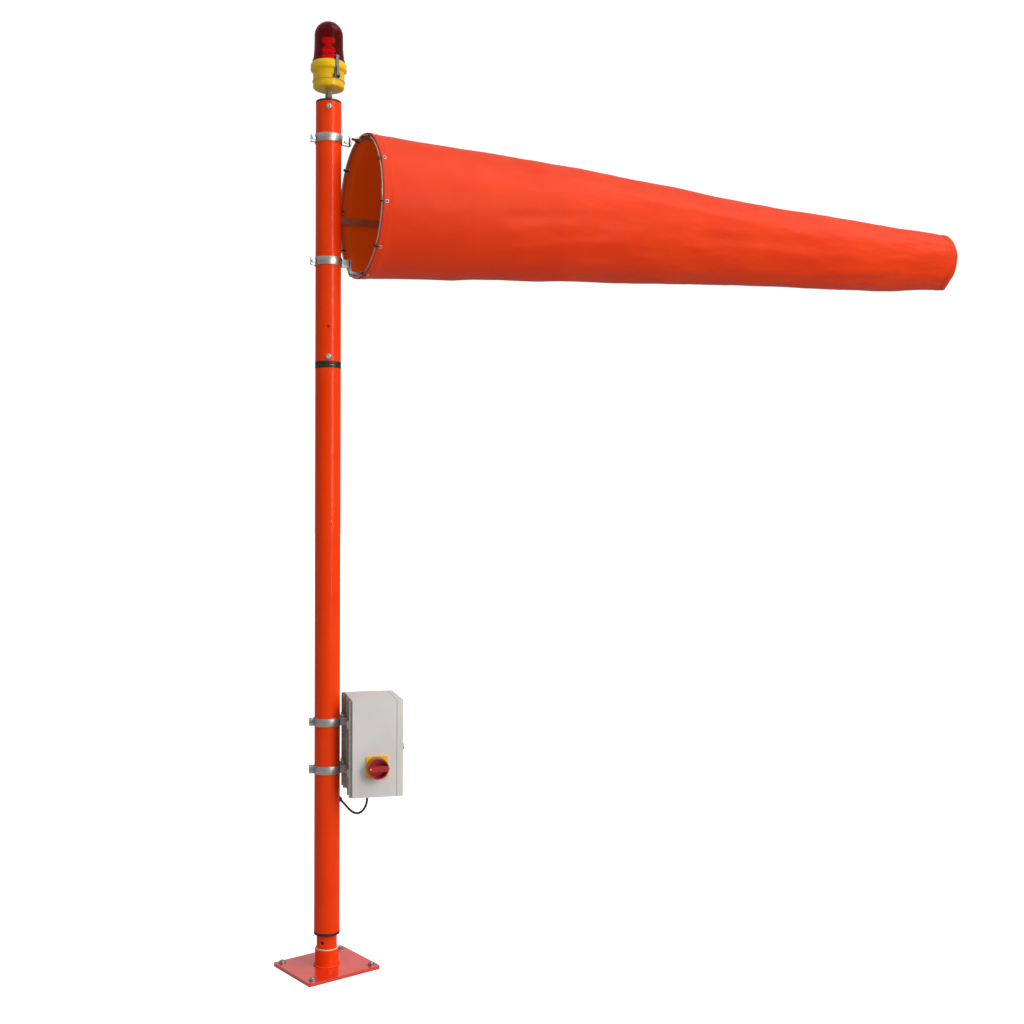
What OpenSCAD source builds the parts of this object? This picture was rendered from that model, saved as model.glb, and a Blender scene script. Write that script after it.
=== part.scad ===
// Windsock with pole: a steel mast on a base plate, a head that turns with the wind and
// carries the sock, a red obstruction light on top and a switch box on the mast.
// Origin: centre of the base plate's underside, on the mast's axis. +Z is up.

/* [Base] */
// Length of the base plate along X
plate_l = 240; // [220:1:320]
// Width of the base plate along Y
plate_w = 220; // [200:1:320]
// Thickness of the base plate
plate_t = 10; // [8:1:16]
// Distance between the anchor holes along X
anchor_x = 200; // [180:1:200]
// Distance between the anchor holes along Y
anchor_y = 180; // [160:1:180]
// Diameter of the anchor holes
anchor_hole_d = 11; // [9:0.5:13]

/* [Mast] */
// Outer diameter of the outer mast tubes
mast_d = 76.1; // [76.1:0.1:76.1]
// Wall of the outer mast tubes
mast_wall = 3; // [2:0.5:4]
// Outer diameter of the inner mast
inner_d = 60.3; // [60.3:0.1:60.3]
// Wall of the inner mast
inner_wall = 2.9; // [2:0.1:4]
// Height of the swivel joint above the ground
joint_z = 1794; // [1500:1:1850]
// Height of the top of the turning sleeve
sleeve_top_z = 2587; // [2560:1:2600]
// Direction in which the sock points at rest, about Z
heading = -14; // [-45:1:45]
// Direction in which the box's door faces, about Z
box_heading = -24; // [-45:1:45]

/* [Sock] */
// Outer diameter of the fabric at the mouth
mouth_d = 432; // [430:1:450]
// Outer diameter of the fabric at the tail
tail_d = 202; // [150:1:260]
// Distance of the mouth's hem from the mast's axis
mouth_x = 101; // [100:1:110]
// Distance of the tail from the mast's axis
tail_x = 2412; // [1500:1:2433]
// Height of the sock's axis above the ground
sock_z = 2290; // [2285:1:2300]
// Length of the rigid basket frame
basket_l = 315; // [250:1:500]
// Thickness of the coated fabric
fabric_t = 1.2; // [0.6:0.1:2]

/* [Switch box] */
// Width of the box
box_w = 200; // [200:1:240]
// Height of the box
box_h = 286; // [280:1:360]
// Depth of the box with its door
box_deep = 150; // [150:1:180]
// Height of the box's underside above the ground
box_z = 524; // [480:1:600]
// Thickness of the box's sheet
sheet_t = 1.5; // [1:0.5:2]

/* [Light] */
// Height of the light's underside above the ground
light_z = 2630; // [2630:1:2660]
// Diameter of the light's base
light_d = 93; // [90:1:93]
// Height of the red lens
lens_h = 122; // [110:1:130]

/* [Hidden] */
$fn = 64;
fit = 0.05; // radial clearance of a running fit
gap = 0.1;  // clearance between fixed pieces
mast_r = mast_d / 2;
bore_r = mast_r - mast_wall;
inner_r = inner_d / 2;
ring_r = mast_r + 0.5;
socket_top_z = 60;
foot_z = 104;
ring_h = 8;
tube_z = foot_z + ring_h;
stator_h = 9;
thrust_h = 1.4;
rotor_z = joint_z + stator_h + 1.5;
rotor_h = 9.5;
sleeve_z = rotor_z + rotor_h;
inner_top_z = sleeve_top_z - 31;
cap_h = 7;
spigot_r = bore_r - gap;
screw_z = [sleeve_z + 12, sleeve_top_z - 18];
screw_turn = -105;
drain_z = 82;
// sock
fabric_k = (mouth_d - tail_d) / 2 / (tail_x - mouth_x);
hoop_x = mouth_x - 4;
hoop_w = 10;
hoop_t = 3;
hoop_r = mouth_d / 2 - fabric_t - 2.8;
basket_end_x = hoop_x + basket_l;
rear_slack = 5; // the cloth is cut a little wider than the rear hoop
rear_r = mouth_d / 2 - fabric_k * (basket_end_x - mouth_x) - fabric_t - rear_slack;
strut_w = 20;
strut_r = hoop_r - hoop_t - 0.4;
strut_end_r = rear_r - hoop_t - 1.1;
eyelet_x = mouth_x + 10;
eyelet_n = 10;
eyelet_turn = -8;
cone_x = basket_end_x + 0.6;
panel_x = (cone_x + tail_x) / 2; // where the front and the back panels are sewn together
// clamps
band_h = 24;
band_t = 3;
band_r = mast_r + gap;
ear_gap = 2;
sock_clamp_z = [2113, 2480];
box_clamp_z = [box_z + 72, box_z + 214];
ear_x = 47;
right_ear_x = 52;
clamp_bolt_d = 6;
clamp_bolt_af = 10;
clamp_hole_d = 6.6;
leg_x = 64;
leg_w = 24;
leg_t = 4;
// switch box
box_x = 63;
door_x = box_x + box_deep - 18;
box_front_x = door_x - 1;
box_mid_z = box_z + box_h / 2;
door_front_x = box_x + box_deep;
neck_in = 10;
hinge_x = box_front_x + 0.5;
hinge_y = box_w / 2 + 4.5;
hinge_r = 4;
hinge_pin_r = 2;
hinge_half = 15;
hinge_z = [box_mid_z - 90, box_mid_z + 90];
lock_y = -box_w / 2 + 25;
rail_y = 70;
rail_w = 40;
rail_d = 10;
wing_x = box_x - rail_d - band_t;
switch_x = 135;
switch_z = 614;
switch_y = -box_w / 2;
gland_x = 121;
// light
light_r = light_d / 2;
collar_r = 53.5;
lens_z = light_z + 81;
lens_wall = 3;
stem_r = 10;
latch_turns = [-93, 87];
latch_x = 55.5;
latch_z = light_z + 30;
// supply cable, in the upright plane that the box points along: distance from the mast's axis, height
cable_d = 7;
cable_route = [
    [42, 498], [46, 494], [52, 487.2], [60, 477.6], [69, 468], [79, 460.2], [90, 456.8],
    [100.5, 459.2], [108.8, 465.8], [114.8, 475], [118.8, 486], [120.6, 497], [121, 505],
    [121, box_z - 15],
];
riser_route = [
    [42, 498], [35, 505], [26, 514.2], [17, 524.4], [9.5, 536], [4, 549], [1, 562], [0, 574],
    [0, light_z + 10],
];
cable_sides = 10;
way_r = 6;
way_z = cable_route[0][0] + cable_route[0][1] - mast_r;

orange = [0.86, 0.24, 0.03];
sock_red = [0.90, 0.28, 0.12];
black = [0.07, 0.07, 0.07];
steel = [0.62, 0.62, 0.60];
grey = [0.79, 0.78, 0.75];
yellow = [0.86, 0.66, 0.03];
red = [0.65, 0.02, 0.03];

// ---- shared shapes ----

module pointing() {
    rotate([0, 0, heading]) children();
}

module box_pointing() {
    rotate([0, 0, box_heading]) children();
}

module tube(r_out, r_in, h) {
    difference() {
        cylinder(r = r_out, h = h);
        translate([0, 0, -1]) cylinder(r = r_in, h = h + 2);
    }
}

// a ring flange with a spigot on its underside or top
module flanged_bush(flange_h, spigot_h, up, in_r) {
    difference() {
        union() {
            cylinder(r = ring_r, h = flange_h);
            translate([0, 0, up ? flange_h : -spigot_h]) cylinder(r = spigot_r, h = spigot_h);
        }
        translate([0, 0, -spigot_h - 1]) cylinder(r = in_r, h = 2 * spigot_h + flange_h + 2);
    }
}

module round_plate(l, w, t, r) {
    translate([-l / 2 + r, -w / 2, 0]) cube([l - 2 * r, w, t]);
    translate([-l / 2, -w / 2 + r, 0]) cube([l, w - 2 * r, t]);
    for (x = [-1, 1], y = [-1, 1])
        translate([x * (l / 2 - r), y * (w / 2 - r), 0]) cylinder(r = r, h = t);
}

module at_anchors() {
    for (x = [-1, 1], y = [-1, 1])
        translate([x * anchor_x / 2, y * anchor_y / 2, plate_t]) children();
}

// a hexagon bolt along +Y from its head's seat, with its nut
module cross_bolt(d, grip, af) {
    rotate([-90, 0, 0]) {
        translate([0, 0, -d * 0.6]) cylinder(d = af / cos(30), h = d * 0.6, $fn = 6);
        cylinder(d = d, h = grip + d * 0.95);
        translate([0, 0, grip]) difference() {
            cylinder(d = af / cos(30), h = d * 0.8, $fn = 6);
            translate([0, 0, -1]) cylinder(d = d, h = d);
        }
    }
}

// ---- base ----

module base_plate() {
    color(orange) difference() {
        round_plate(plate_l, plate_w, plate_t, 6);
        for (x = [-1, 1], y = [-1, 1])
            translate([x * anchor_x / 2, y * anchor_y / 2, -1])
                cylinder(d = anchor_hole_d, h = plate_t + 2);
        translate([0, 0, -1]) cylinder(d = 40, h = plate_t + 2);
    }
}

module base_socket() {
    color(orange) translate([0, 0, plate_t]) difference() {
        union() {
            cylinder(r = 35, h = socket_top_z - plate_t);
            cylinder(r1 = 39, r2 = 35, h = 4);
        }
        translate([0, 0, -1]) cylinder(r = inner_r + gap, h = socket_top_z);
    }
}

module socket_seal() {
    color([0.85, 0.80, 0.66]) translate([0, 0, socket_top_z]) tube(34.6, inner_r + gap, 2);
}

module anchor_washers() {
    color(steel) at_anchors() tube(10, anchor_hole_d / 2, 2);
}

module anchor_nuts() {
    color(steel) at_anchors() translate([0, 0, 2]) difference() {
        union() {
            cylinder(d = 17 / cos(30), h = 5, $fn = 6);
            intersection() {
                translate([0, 0, 0.5]) sphere(r = 8);
                translate([0, 0, 4]) cylinder(r = 8, h = 7);
            }
        }
        translate([0, 0, -1]) cylinder(d = 10, h = 6.5);
    }
}

// ---- mast ----

// the slanting line that the supply cable takes through both tubes, from the outer tube's face
module on_cable_way() {
    box_pointing() translate([mast_r, 0, way_z]) rotate([0, 135, 0]) children();
}

module cable_way() {
    on_cable_way() translate([0, 0, -30]) cylinder(r = way_r, h = 40);
}

module inner_mast() {
    color(orange) difference() {
        translate([0, 0, plate_t]) tube(inner_r, inner_r - inner_wall, inner_top_z - plate_t);
        pointing() rotate([0, 0, screw_turn - 28]) translate([0, 0, drain_z])
            rotate([0, 90, 0]) cylinder(d = 10, h = inner_r + 5);
        cable_way();
    }
}

module foot_ring() {
    color(black) translate([0, 0, foot_z]) flanged_bush(ring_h, 38, true, inner_r + fit);
}

module lower_tube() {
    color(orange) difference() {
        translate([0, 0, tube_z]) tube(mast_r, bore_r, joint_z - tube_z);
        cable_way();
    }
}

module stator_ring() {
    color(black) translate([0, 0, joint_z]) flanged_bush(stator_h, 40, false, inner_r + fit);
}

module thrust_washer() {
    color([0.75, 0.62, 0.30]) translate([0, 0, joint_z + stator_h]) tube(35.5, 31, thrust_h);
}

module mast_plug() {
    color(steel) translate([0, 0, inner_top_z - 26])
        tube(inner_r - inner_wall - gap, stem_r + fit, 26);
}

// ---- light ----

module beacon_stem() {
    color(steel) translate([0, 0, inner_top_z - 26]) difference() {
        union() {
            cylinder(r = stem_r, h = light_z + 12 - inner_top_z + 26);
            // thread crests between the mast cap and the light
            for (z = [68 : 2.5 : light_z - inner_top_z + 24]) translate([0, 0, z]) cylinder(r = stem_r + 0.6, h = 1.2);
        }
        translate([0, 0, -1]) cylinder(r = 5, h = 200);
    }
}

module beacon_base() {
    edge = 7;
    color(yellow) translate([0, 0, light_z]) difference() {
        rotate_extrude() {
            square([light_r - edge, 60]);
            translate([0, edge]) square([light_r, 60]);
            intersection() {
                translate([light_r - edge, edge]) circle(r = edge);
                square([light_r, 60]);
            }
            // collar under the lens
            polygon([[light_r - 1, 48], [collar_r, 55], [collar_r, 72], [light_r + 2, 79], [0, 79], [0, 48]]);
        }
        translate([0, 0, 5]) cylinder(r = light_r - 5, h = 80);
        translate([0, 0, -1]) cylinder(r = stem_r + gap, h = 20);
    }
}

module beacon_gasket() {
    color(black) translate([0, 0, light_z + 79]) tube(light_r + 1, light_r - 5, 2);
}

module beacon_lens() {
    cone_h = 40;
    dome_r = 42.5;
    dome_z = lens_h - dome_r;
    color([0.62, 0.02, 0.03, 0.6]) translate([0, 0, lens_z]) rotate_extrude() difference() {
        union() {
            square([light_r + 2, 4]);
            polygon([[0, 0], [light_r, 0], [light_r, 4], [dome_r + 0.8, cone_h], [dome_r, dome_z], [0, dome_z]]);
            intersection() {
                translate([0, dome_z]) circle(r = dome_r);
                square([dome_r + 1, lens_h]);
            }
        }
        polygon([
            [-1, -1], [light_r - lens_wall, -1], [light_r - lens_wall, 4],
            [dome_r + 0.8 - lens_wall, cone_h], [dome_r - lens_wall, dome_z], [-1, dome_z],
        ]);
        intersection() {
            translate([0, dome_z]) circle(r = dome_r - lens_wall);
            translate([-1, 0]) square([dome_r + 1, lens_h]);
        }
    }
}

module beacon_lamp() {
    color([0.9, 0.85, 0.8]) translate([0, 0, light_z + 12]) {
        cylinder(r = 15, h = 40);
        translate([0, 0, 40]) cylinder(r = 32, h = 4);
        translate([0, 0, 44]) cylinder(r = 10, h = 92);
        for (z = [70, 87, 104, 133]) translate([0, 0, z]) cylinder(r = 20, h = 6);
        translate([0, 0, 136]) cylinder(r1 = 16, r2 = 8, h = 8);
    }
}

module beacon_tether() {
    color([0.80, 0.60, 0.52]) translate([0, 0, latch_z - 8.2])
        rotate_extrude() translate([light_r + 1.05, 0]) circle(r = 1);
}

module latch_feet() {
    color(steel) for (a = latch_turns) rotate([0, 0, a]) translate([0, 0, latch_z]) {
        difference() {
            translate([light_r - 2, -8.3, -7]) cube([14, 16.6, 12]);
            translate([light_r + 2.5, -6.3, -8]) cube([14, 12.6, 14]);
            translate([0, 0, -20]) cylinder(r = light_r + gap, h = 40);
        }
        translate([latch_x, 9.3, 0]) rotate([90, 0, 0]) cylinder(r = 1.5, h = 18.6);
    }
}

// an over-centre latch: eye on its pin, lever over the collar, hook on the lens flange
module latch(turn) {
    rotate([0, 0, turn]) {
        difference() {
            union() {
                translate([latch_x, 6, latch_z]) rotate([90, 0, 0]) cylinder(r = 3.2, h = 12);
                translate([latch_x - 1, -5, latch_z]) cube([2.8, 10, lens_z + 7.3 - latch_z]);
                translate([latch_x - 8.3, -6, lens_z + 4.3]) cube([10.1, 12, 3]);
                translate([latch_x + 1, -4, latch_z - 2]) cube([4, 8, 28]);
            }
            translate([latch_x, 8, latch_z]) rotate([90, 0, 0]) cylinder(r = 1.5 + fit, h = 16);
        }
    }
}

module latch_near() {
    color(steel) latch(latch_turns[0]);
}

module latch_far() {
    color(steel) latch(latch_turns[1]);
}

// ---- pipe clamps ----

// near half of a two-part pipe clamp (side -Y) round the mast, from its underside
module half_band(right_end) {
    difference() {
        union() {
            intersection() {
                tube(band_r + band_t, band_r, band_h);
                translate([-50, -50, 0]) cube([100, 50 - ear_gap, band_h]);
            }
            translate([-ear_x - 7, -ear_gap - band_t, 0]) cube([ear_x + 7 - mast_r - 0.8, band_t, band_h]);
            children();
        }
        for (x = right_end ? [-ear_x, right_ear_x] : [-ear_x])
            translate([x, 0, band_h / 2]) rotate([90, 0, 0]) cylinder(d = clamp_hole_d, h = 20);
    }
}

module sock_half() {
    half_band(true) translate([mast_r + 0.8, -ear_gap - band_t, 0]) cube([24, band_t, band_h]);
}

// an arm runs out from the band to a wing that lies flat on its rail
module box_half() {
    arm_y = 14;
    difference() {
        half_band(false) {
            translate([mast_r - 2, -arm_y - band_t, 0]) cube([wing_x + band_t - mast_r + 2, band_t, band_h]);
            translate([wing_x, -rail_y - rail_w / 2 + 2, 0])
                cube([band_t, rail_y + rail_w / 2 - 2 - arm_y, band_h]);
        }
        translate([wing_x - 5, -rail_y, band_h / 2]) rotate([0, 90, 0]) cylinder(d = 8.4, h = 20);
    }
}

module at_clamps(turn, heights) {
    rotate([0, 0, turn]) for (z = heights) translate([0, 0, z - band_h / 2]) children();
}

module box_clamps_near() {
    color(steel) at_clamps(box_heading, box_clamp_z) box_half();
}

module box_clamps_far() {
    color(steel) at_clamps(box_heading, box_clamp_z) mirror([0, 1, 0]) box_half();
}

module clamp_bolt(x) {
    translate([x, -ear_gap - band_t, band_h / 2]) cross_bolt(clamp_bolt_d, 2 * (ear_gap + band_t), clamp_bolt_af);
}

module box_clamp_bolts() {
    color(steel) at_clamps(box_heading, box_clamp_z) clamp_bolt(-ear_x);
}

module sock_clamps_near() {
    color(steel) at_clamps(heading, sock_clamp_z) sock_half();
}

module sock_clamps_far() {
    color(steel) at_clamps(heading, sock_clamp_z) mirror([0, 1, 0]) sock_half();
}

module sock_clamp_bolts() {
    color(steel) at_clamps(heading, sock_clamp_z) {
        clamp_bolt(-ear_x);
        clamp_bolt(right_ear_x);
    }
}

// ---- switch box ----

module box_rails() {
    color(steel) box_pointing() for (s = [-1, 1]) translate([box_x - rail_d, s * rail_y - rail_w / 2, box_z])
        difference() {
            cube([rail_d, rail_w, box_h]);
            translate([-1, 2, -1]) cube([rail_d - 1, rail_w - 4, box_h + 2]);
        }
}

module rail_bolts() {
    color(steel) box_pointing() for (z = box_clamp_z, s = [-1, 1])
        translate([wing_x, s * rail_y, z]) rotate([0, 0, -90]) {
            cross_bolt(8, band_t, 13);
            translate([-16, band_t + gap, -7]) difference() {
                cube([32, 5, 14]);
                translate([16, -1, 7]) rotate([-90, 0, 0]) cylinder(d = 17, h = 8);
            }
        }
}

// an open-fronted sheet case from x to x_end
module case_shell(x, x_end, inset) {
    w = box_w - 2 * inset;
    h = box_h - 2 * inset;
    translate([x, -w / 2, box_z + inset]) difference() {
        cube([x_end - x, w, h]);
        translate([sheet_t, sheet_t, sheet_t]) cube([x_end - x, w - 2 * sheet_t, h - 2 * sheet_t]);
    }
}

module frame_ring(x, t, inset, border) {
    translate([x, -box_w / 2 + inset, box_z + inset]) difference() {
        cube([t, box_w - 2 * inset, box_h - 2 * inset]);
        translate([-1, border, border])
            cube([t + 2, box_w - 2 * inset - 2 * border, box_h - 2 * inset - 2 * border]);
    }
}

// one hinge leaf with its knuckle, from the knuckle's lower end
module hinge_leaf(to_x) {
    x0 = min(to_x, hinge_x);
    difference() {
        union() {
            translate([hinge_x, hinge_y, 0]) cylinder(r = hinge_r, h = hinge_half);
            translate([x0, box_w / 2, 0]) cube([abs(to_x - hinge_x), 2, hinge_half]);
        }
        translate([hinge_x, hinge_y, -1]) cylinder(r = hinge_pin_r + fit, h = hinge_half + 2);
    }
}

module box_body() {
    color(grey) box_pointing() {
        difference() {
            union() {
                case_shell(box_x, box_front_x, 0);
                frame_ring(box_front_x - sheet_t, sheet_t, 0, 12);
                frame_ring(box_front_x - 0.5, 13.3, neck_in, sheet_t);
            }
            translate([switch_x, switch_y - 1, switch_z]) rotate([-90, 0, 0]) cylinder(d = 12, h = 10);
            translate([gland_x, 0, box_z - 1]) cylinder(d = 16, h = 5);
        }
        for (z = hinge_z) translate([0, 0, z - hinge_half]) hinge_leaf(hinge_x - 24);
    }
}

module gear_plate() {
    color([0.72, 0.73, 0.74]) box_pointing() {
        translate([box_x + 10, -85, box_z + 15]) cube([2, 170, box_h - 30]);
        for (y = [-75, 75], z = [box_z + 25, box_z + box_h - 25])
            translate([box_x + sheet_t, y, z]) rotate([0, 90, 0]) cylinder(r = 5, h = 8.5);
    }
}

module din_rail() {
    color(steel) box_pointing() translate([box_x + 12, -80, box_z + 60]) {
        cube([1, 160, 35]);
        for (z = [0, 28]) translate([0, 0, z]) cube([7.5, 160, 1.2]);
        for (z = [-4, 28]) translate([6.5, 0, z]) cube([1, 160, 11]);
    }
}

module terminal_block() {
    color([0.65, 0.66, 0.66]) box_pointing() for (i = [0 : 7])
        translate([box_x + 20, -30 + i * 8.2, box_z + 52]) difference() {
            cube([38, 7.8, 50]);
            for (z = [10, 40]) translate([30, 3.9, z]) rotate([0, 90, 0]) cylinder(d = 5, h = 10);
        }
}

module power_unit() {
    color([0.25, 0.26, 0.27]) box_pointing() translate([box_x + 12, -60, box_z + 150]) {
        cube([52, 120, 80]);
        for (z = [8 : 8 : 72]) translate([52, 10, z]) cube([3, 100, 3]);
    }
}

module hinge_pins() {
    color(steel) box_pointing() for (z = hinge_z) translate([hinge_x, hinge_y, z - hinge_half - 2]) {
        cylinder(r = hinge_pin_r, h = 2 * hinge_half + 4.2);
        translate([0, 0, -1]) cylinder(r = 3.5, h = 2.9);
    }
}

module switch_body() {
    color(black) box_pointing() translate([switch_x, switch_y + sheet_t + gap, switch_z]) {
        translate([-24, 0, -24]) cube([48, 40, 48]);
        rotate([90, 0, 0]) cylinder(r = 3, h = 8);
    }
}

module switch_plate() {
    color(yellow) box_pointing() translate([switch_x, switch_y, switch_z]) rotate([90, 0, 0])
        translate([0, 0, gap]) difference() {
            round_plate(64, 64, 3.5, 3);
            translate([0, 0, -1]) cylinder(d = 12, h = 6);
        }
}

module switch_knob() {
    knob_r = 31;
    color(red) box_pointing() translate([switch_x, switch_y - 4, switch_z]) rotate([90, 0, 0]) difference() {
        union() {
            difference() {
                cylinder(r = knob_r, h = 30);
                translate([0, 0, 8]) cylinder(r = knob_r - 3.5, h = 30);
            }
            cylinder(r = knob_r, h = 8);
            translate([4 - knob_r, -8.5, 0]) cube([2 * knob_r - 10, 17, 34]);
            translate([knob_r - 6, 0, 4]) rotate([0, 0, 45]) translate([-6, -6, 0]) cube([12, 12, 28]);
        }
        translate([0, 0, -1]) cylinder(r = 3 + fit, h = 8);
    }
}

module door() {
    color(grey) box_pointing() {
        difference() {
            door_pan();
            translate([door_x, lock_y, box_mid_z]) rotate([0, 90, 0]) cylinder(r = 9 + fit, h = 30);
        }
        for (z = hinge_z) translate([0, 0, z + 0.3]) hinge_leaf(hinge_x + 17);
    }
}

// the door's sheet pan, open towards the box
module door_pan() {
    translate([door_x, -box_w / 2, box_z]) difference() {
        cube([door_front_x - door_x, box_w, box_h]);
        translate([-sheet_t, sheet_t, sheet_t])
            cube([door_front_x - door_x, box_w - 2 * sheet_t, box_h - 2 * sheet_t]);
    }
}

module door_gasket() {
    color(black) box_pointing() frame_ring(door_front_x - sheet_t - 4.5, 4.5, 4, 12);
}

module door_lock() {
    color(steel) box_pointing() translate([0, lock_y, box_mid_z]) rotate([0, 90, 0]) difference() {
        union() {
            translate([0, 0, door_front_x - 13]) cylinder(r = 9, h = 14);
            translate([0, 0, door_front_x + gap]) cylinder(r = 12, h = 3);
            translate([0, 0, door_front_x + 3]) cylinder(r1 = 10.5, r2 = 8.5, h = 4);
            translate([-6, -11.5, door_front_x - 16]) cube([12, 20, 3.5]);
        }
        translate([-1.5, -7, door_front_x + 4]) cube([3, 14, 8]);
    }
}

// ---- supply cable ----

module mast_grommet() {
    color(black) difference() {
        union() {
            on_cable_way() translate([0, 0, -6]) cylinder(r = way_r - gap, h = 8);
            difference() {
                on_cable_way() {
                    translate([0, 0, -7]) cylinder(r = way_r + 1.5, h = 9);
                    translate([0, 0, 2]) cylinder(r1 = way_r + 1.5, r2 = 4.6, h = 3.5);
                }
                cylinder(r = mast_r + gap, h = 2 * way_z);
            }
        }
        on_cable_way() translate([0, 0, -20]) cylinder(r = cable_d / 2 + gap, h = 40);
    }
}

// direction of a route at point i, from its neighbours
function along(route, i) =
    let (a = route[max(i - 1, 0)], b = route[min(i + 1, len(route) - 1)])
    (b - a) / norm(b - a);

function cable_ring(route, i) =
    let (t = along(route, i), c = route[i])
    [for (k = [0 : cable_sides - 1])
        let (a = k * 360 / cable_sides, s = cable_d / 2 * cos(a), q = cable_d / 2 * sin(a))
        [c[0] - t[1] * s, q, c[1] + t[0] * s]];

module swept_cable(route) {
    n = len(route);
    m = cable_sides;
    points = [for (i = [0 : n - 1]) each cable_ring(route, i)];
    sides = [for (i = [0 : n - 2], k = [0 : m - 1])
        [i * m + k, (i + 1) * m + k, (i + 1) * m + (k + 1) % m, i * m + (k + 1) % m]];
    caps = [[for (k = [0 : m - 1]) k], [for (k = [m - 1 : -1 : 0]) (n - 1) * m + k]];
    color(black) box_pointing() polyhedron(points = points, faces = concat(sides, caps), convexity = 4);
}

module cable() {
    swept_cable(cable_route);
}

// the same cable inside the mast, up to the light
module riser_cable() {
    swept_cable(riser_route);
}

module box_gland() {
    color(black) box_pointing() translate([gland_x, 0, box_z]) difference() {
        union() {
            translate([0, 0, -6]) cylinder(d = 20 / cos(30), h = 6, $fn = 6);
            translate([0, 0, -11]) cylinder(r1 = 8.5, r2 = 9, h = 5);
            translate([0, 0, -15]) cylinder(r1 = 5, r2 = 8.5, h = 4);
            translate([0, 0, -1]) cylinder(r = 7.9, h = 12);
            translate([0, 0, sheet_t + gap]) cylinder(d = 20 / cos(30), h = 5, $fn = 6);
        }
        translate([0, 0, -7]) cylinder(r = cable_d / 2 + gap, h = 30);
    }
}

// ---- turning head ----

module head_sleeve() {
    color(orange) difference() {
        translate([0, 0, sleeve_z]) tube(mast_r, bore_r, sleeve_top_z - sleeve_z);
        screw_holes(2.7);
        pointing() rotate([0, 0, screw_turn]) translate([0, 0, sleeve_z + 102])
            rotate([0, 90, 0]) cylinder(d = 7, h = 60);
    }
}

module screw_holes(r) {
    pointing() for (z = screw_z, a = [screw_turn, screw_turn + 180])
        rotate([0, 0, a]) translate([25, 0, z]) rotate([0, 90, 0]) cylinder(r = r, h = 30);
}

module rotor_ring() {
    color(black) difference() {
        translate([0, 0, rotor_z]) flanged_bush(rotor_h, 40, true, inner_r + fit);
        screw_holes(2.6);
    }
}

module head_bush() {
    color(black) translate([0, 0, inner_top_z - 60]) tube(spigot_r, inner_r + fit, 40);
}

module head_cap() {
    color(black) difference() {
        union() {
            translate([0, 0, sleeve_top_z]) cylinder(r = mast_r, h = cap_h - 1.5);
            translate([0, 0, sleeve_top_z + cap_h - 1.5]) cylinder(r1 = mast_r, r2 = mast_r - 1.5, h = 1.5);
            translate([0, 0, sleeve_top_z - 27]) cylinder(r = spigot_r, h = 28);
        }
        translate([0, 0, sleeve_top_z - 28]) cylinder(r = 30, h = 28);
        translate([0, 0, sleeve_top_z - 28]) cylinder(r = stem_r + 0.9, h = 60);
        screw_holes(2.6);
    }
}

module head_screws() {
    color(steel) pointing() for (z = screw_z, a = [screw_turn, screw_turn + 180])
        rotate([0, 0, a]) translate([0, 0, z]) rotate([0, 90, 0]) {
            translate([0, 0, mast_r - 7.2]) cylinder(r = 2.5, h = 9);
            intersection() {
                translate([0, 0, mast_r - 5.4]) sphere(r = 11);
                translate([0, 0, mast_r + gap]) cylinder(r = 9.3, h = 6);
            }
        }
}

// ---- basket frame; from here x runs along the sock and its axis is at z = 0 ----

module on_axis() {
    pointing() translate([0, 0, sock_z]) children();
}

// turns a child that points up, at radius r, to each angle round the sock's axis
module around(angles) {
    for (a = angles) rotate([-a, 0, 0]) children();
}

quarters = [0, 90, 180, 270];

module hoop(x, r) {
    difference() {
        translate([x, 0, 0]) rotate([0, 90, 0]) tube(r, r - hoop_t, hoop_w);
        around(quarters) translate([x + hoop_w / 2, 0, r - 20]) cylinder(d = 6.2, h = 40);
    }
}

module mouth_hoop() {
    color(steel) on_axis() hoop(hoop_x, hoop_r);
}

module rear_hoop() {
    color(steel) on_axis() hoop(basket_end_x - hoop_w, rear_r);
}

module basket_struts() {
    tilt = atan((strut_r - strut_end_r) / basket_l);
    color(steel) on_axis() around(quarters) difference() {
        translate([hoop_x, -strut_w / 2, strut_r]) rotate([0, tilt, 0])
            translate([0, 0, -hoop_t]) cube([basket_l - 0.3, strut_w, hoop_t]);
        for (x = [hoop_x, basket_end_x - hoop_w])
            translate([x + hoop_w / 2, 0, rear_r - 20]) cylinder(d = 6.2, h = 60);
    }
}

module basket_bolt(x, r, grip) {
    translate([x, 0, r - grip]) {
        translate([0, 0, -3]) cylinder(r = 5, h = 3 - gap);
        translate([0, 0, -1]) cylinder(r = 3, h = grip + 1.4);
    }
}

module basket_bolts() {
    color(steel) on_axis() {
        around([0, 180]) basket_bolt(hoop_x + hoop_w / 2, hoop_r, 11.6);
        around([90, 270]) basket_bolt(hoop_x + hoop_w / 2, hoop_r, 7.4);
        around(quarters) basket_bolt(basket_end_x - hoop_w / 2, rear_r, 8.2);
    }
}

// an L of flat bar from a clamp's ears to the hoop, drawn above the sock's axis
module bracket(clamp_r) {
    top_r = strut_r - 4;
    difference() {
        union() {
            translate([leg_x - 21, -ear_gap + gap, clamp_r - band_h / 2])
                cube([22, 2 * ear_gap - 2 * gap, band_h]);
            translate([leg_x, -leg_w / 2, clamp_r - band_h / 2]) cube([leg_t, leg_w, top_r - clamp_r + band_h / 2]);
            translate([leg_x, -leg_w / 2, top_r - leg_t]) cube([hoop_x + hoop_w - leg_x, leg_w, leg_t]);
        }
        translate([right_ear_x, -10, clamp_r]) rotate([-90, 0, 0]) cylinder(d = clamp_hole_d, h = 20);
        translate([hoop_x + hoop_w / 2, 0, top_r - 10]) cylinder(d = 6.2, h = 20);
    }
}

module bracket_upper() {
    color(steel) on_axis() bracket(sock_clamp_z[1] - sock_z);
}

module bracket_lower() {
    color(steel) on_axis() mirror([0, 0, 1]) bracket(sock_z - sock_clamp_z[0]);
}

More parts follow.
